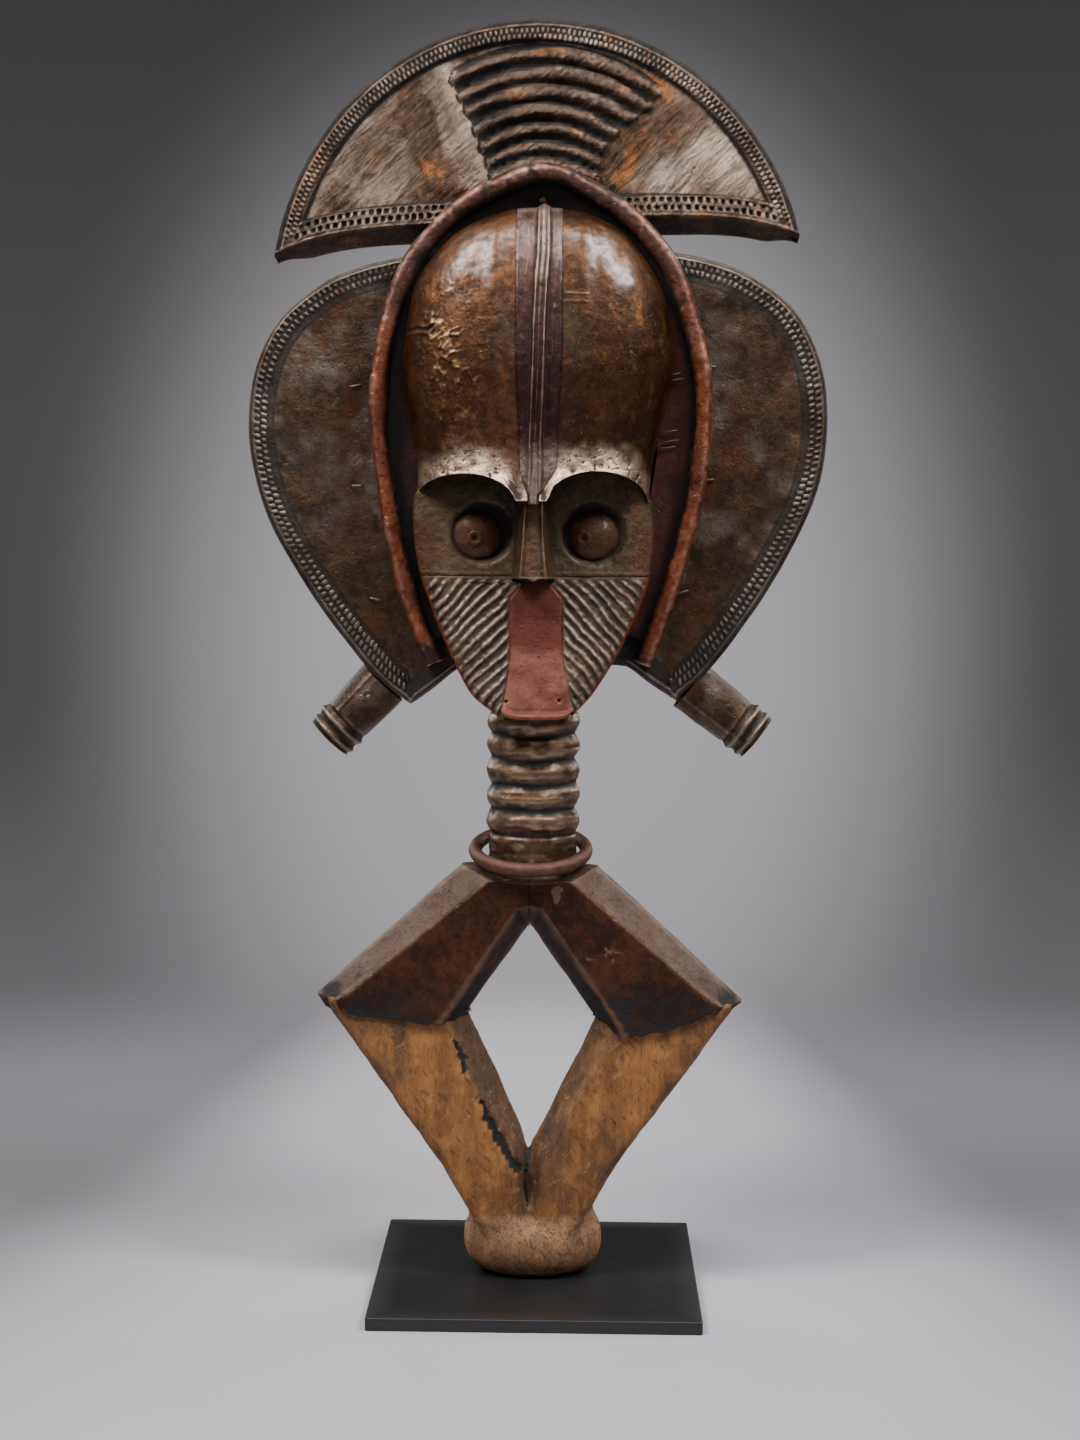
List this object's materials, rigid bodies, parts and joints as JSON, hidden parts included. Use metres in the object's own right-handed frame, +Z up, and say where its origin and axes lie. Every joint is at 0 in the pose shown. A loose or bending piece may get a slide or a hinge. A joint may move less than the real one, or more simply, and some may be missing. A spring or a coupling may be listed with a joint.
{
  "type": "reliquary figure",
  "caption": "Carved wooden reliquary figure clad in hammered sheet metal: crescent crest, side lobes, ribbed neck and open lozenge body on a flat plate.",
  "frame": {"origin": "middle of the whole part's footprint, on the base plate's underside", "axes": "+Z up, the face looks towards -Y, +X to the viewer's right"},
  "size_m": [0.2685, 0.145, 0.5918],
  "materials": {
    "carved_wood": "bare weathered wood, ochre to tan",
    "brown_copper": "aged copper sheet, brown patina",
    "gold_brass": "aged brass sheet, rubbed",
    "red_copper": "reddish copper sheet, matte",
    "dark_lining": "darkened copper sheet",
    "black_plate": "black satin paint on steel"
  },
  "bodies": {
    "root": {"wood_figure": "carved_wood", "base_plate": "black_plate", "crest_sheet": "brown_copper", "coiffure_sheet_left": "brown_copper", "coiffure_sheet_right": "brown_copper", "pendant_sleeve_left": "brown_copper", "pendant_sleeve_right": "brown_copper", "shoulder_sheet_left": "brown_copper", "shoulder_sheet_right": "brown_copper", "cheek_sheet_left": "brown_copper", "cheek_sheet_right": "brown_copper", "forehead_sheet_left": "gold_brass", "forehead_sheet_right": "gold_brass", "eye_sheet_left": "gold_brass", "eye_sheet_right": "gold_brass", "nose_sheet": "gold_brass", "neck_sleeve": "gold_brass", "forehead_band": "red_copper", "mouth_sheet": "red_copper", "rim_band": "red_copper", "neck_ring": "red_copper", "groove_lining": "dark_lining"}
  },
  "joints": []
}
